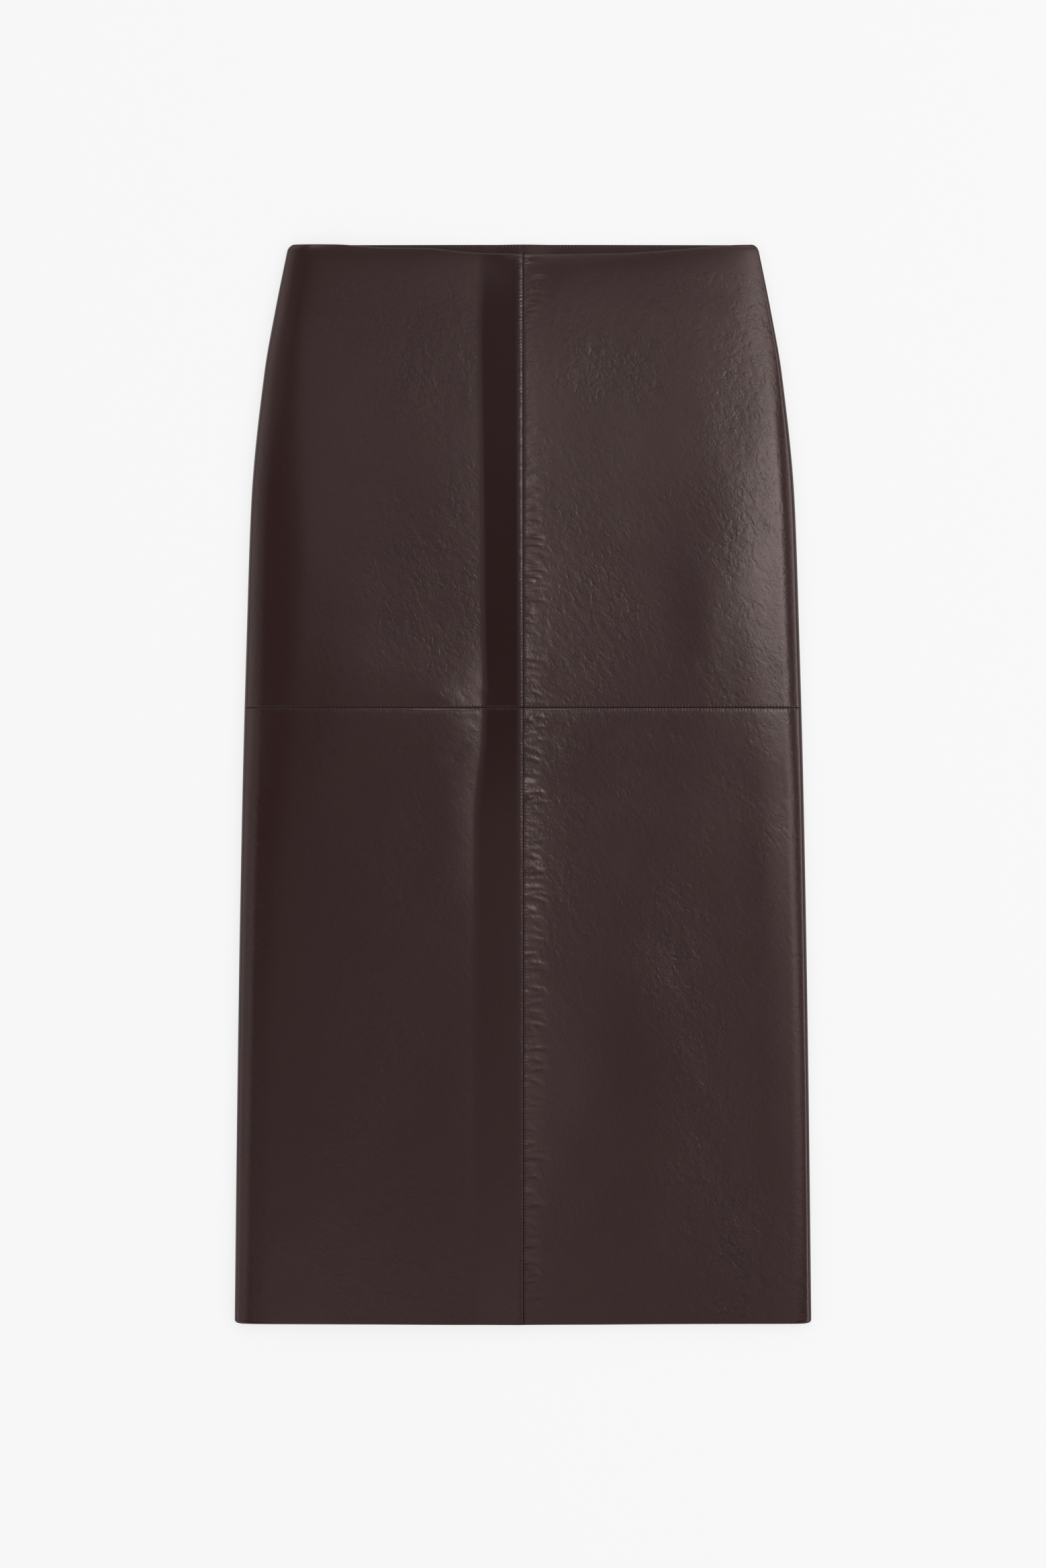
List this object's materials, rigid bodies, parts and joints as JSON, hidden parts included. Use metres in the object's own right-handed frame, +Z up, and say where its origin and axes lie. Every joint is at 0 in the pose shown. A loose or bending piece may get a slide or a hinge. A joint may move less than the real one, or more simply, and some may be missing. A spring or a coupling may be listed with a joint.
{
  "type": "leather skirt laid flat",
  "caption": "Straight midi-length leather skirt laid flat on its back: front and back panels with a centre seam and a cross seam, turned hem, and a concealed zip at the back.",
  "frame": {"origin": "under the middle of the skirt, on the surface that it lies on", "axes": "+X towards the wearer's left, +Y from the hem towards the waist, +Z up out of the front"},
  "size_m": [0.451, 0.843, 0.0159],
  "materials": {
    "leather": "soft sheen, fine pebbled grain",
    "facing": "satin",
    "zip_tape": "matt woven",
    "zip_metal": "dark antique"
  },
  "bodies": {
    "skirt": {"front_upper_left": "leather", "front_upper_right": "leather", "front_lower_left": "leather", "front_lower_right": "leather", "back_upper_left": "leather", "back_upper_right": "leather", "back_lower_left": "leather", "back_lower_right": "leather", "back_facing_left": "facing", "back_facing_right": "facing", "zip_tape": "zip_tape", "zip_slider": "zip_metal"},
    "pull": {"zip_pull": "zip_metal"}
  },
  "joints": [
    {"name": "zip_pull_swing", "type": "hinge", "parent": "skirt", "child": "pull", "pos_m": [0, 0.4095, 0.00125], "axis": [1, 0, 0], "range_deg": [0, 150]}
  ]
}
